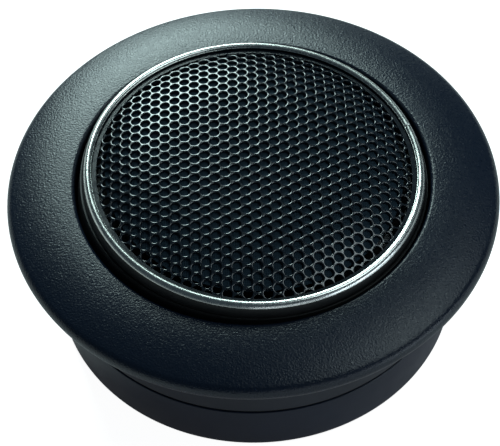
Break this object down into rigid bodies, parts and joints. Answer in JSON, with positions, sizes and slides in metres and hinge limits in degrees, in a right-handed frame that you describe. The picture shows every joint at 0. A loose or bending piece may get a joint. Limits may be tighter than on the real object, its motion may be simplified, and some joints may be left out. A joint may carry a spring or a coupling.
{
  "type": "swivel car tweeter",
  "caption": "Swivelling dome tweeter in a round flush-mount housing, with a textured flange, a bright trim ring and a domed perforated grille over a smooth barrel.",
  "frame": {"origin": "centre of the flat base of the rear cup", "axes": "+Z out of the grille along the barrel's axis; the tilt pins lie along Y; +Y is away from the viewer"},
  "size_m": [0.064, 0.064, 0.0267],
  "materials": {
    "flange_plastic": "moulded ABS, fine pebble grain, satin",
    "cup_plastic": "moulded ABS, smooth satin",
    "black_rubber": "soft moulded rubber",
    "nylon": "natural nylon, satin",
    "spring_steel": "thin sprung steel",
    "board_laminate": "green glass laminate with solder mask",
    "screw_steel": "zinc plated",
    "capacitor_sleeve": "shrink sleeve",
    "resistor_body": "lacquered ceramic",
    "brass": "stamped, tarnished",
    "carrier_plastic": "acetal, satin",
    "pod_plastic": "moulded ABS, fine satin",
    "pin_steel": "ground steel pin",
    "bright_ring": "bright plated, rolled bead",
    "grille_metal": "perforated steel, black stove paint",
    "black_cloth": "thin acoustic cloth",
    "plate_plastic": "moulded ABS",
    "ring_fibre": "glass-filled plastic",
    "treated_cloth": "doped silk",
    "motor_steel": "zinc plated soft iron",
    "magnet_nickel": "nickel plated neodymium",
    "felt": "wool felt",
    "fibre_board": "phenolic fibre board",
    "former_film": "polyimide film",
    "copper_wire": "enamelled copper-clad aluminium wire"
  },
  "bodies": {
    "housing": {"bezel_flange": "flange_plastic", "rear_cup": "cup_plastic", "seam_gasket": "black_rubber", "cable_grommet": "black_rubber", "friction_ring": "nylon", "wave_spring": "spring_steel", "crossover_board": "board_laminate", "board_screws": "screw_steel", "series_capacitor": "capacitor_sleeve", "attenuator_resistor": "resistor_body", "board_tabs": "brass"},
    "swivel": {"swivel_ring": "carrier_plastic"},
    "pod": {"pod_housing": "pod_plastic", "tilt_pins": "pin_steel", "tilt_washers": "nylon", "trim_ring": "bright_ring", "grille_mesh": "grille_metal", "grille_cloth": "black_cloth", "front_plate": "plate_plastic", "front_plate_screws": "screw_steel", "diaphragm_ring": "ring_fibre", "surround": "treated_cloth", "yoke_cup": "motor_steel", "magnet": "magnet_nickel", "pole_plate": "motor_steel", "damping_felt": "felt", "terminal_board": "fibre_board", "terminal_lugs": "brass", "terminal_rivets": "brass"},
    "diaphragm": {"dome": "treated_cloth", "coil_former": "former_film", "voice_coil": "copper_wire"}
  },
  "joints": [
    {"name": "pod_turn", "type": "hinge", "parent": "housing", "child": "swivel", "pos_m": [0, 0, 0.017], "axis": [0, 0, 1], "range_deg": [-165, 165]},
    {"name": "pod_tilt", "type": "hinge", "parent": "swivel", "child": "pod", "pos_m": [0, 0, 0.018], "axis": [0, 1, 0], "range_deg": [-17.5, 12.5]},
    {"name": "diaphragm_travel", "type": "slide", "parent": "pod", "child": "diaphragm", "axis": [0.0436, 0, 0.999], "range_m": [-0.00035, 0.00035], "stiffness_N_per_m": 400, "deforming": ["surround"]}
  ]
}
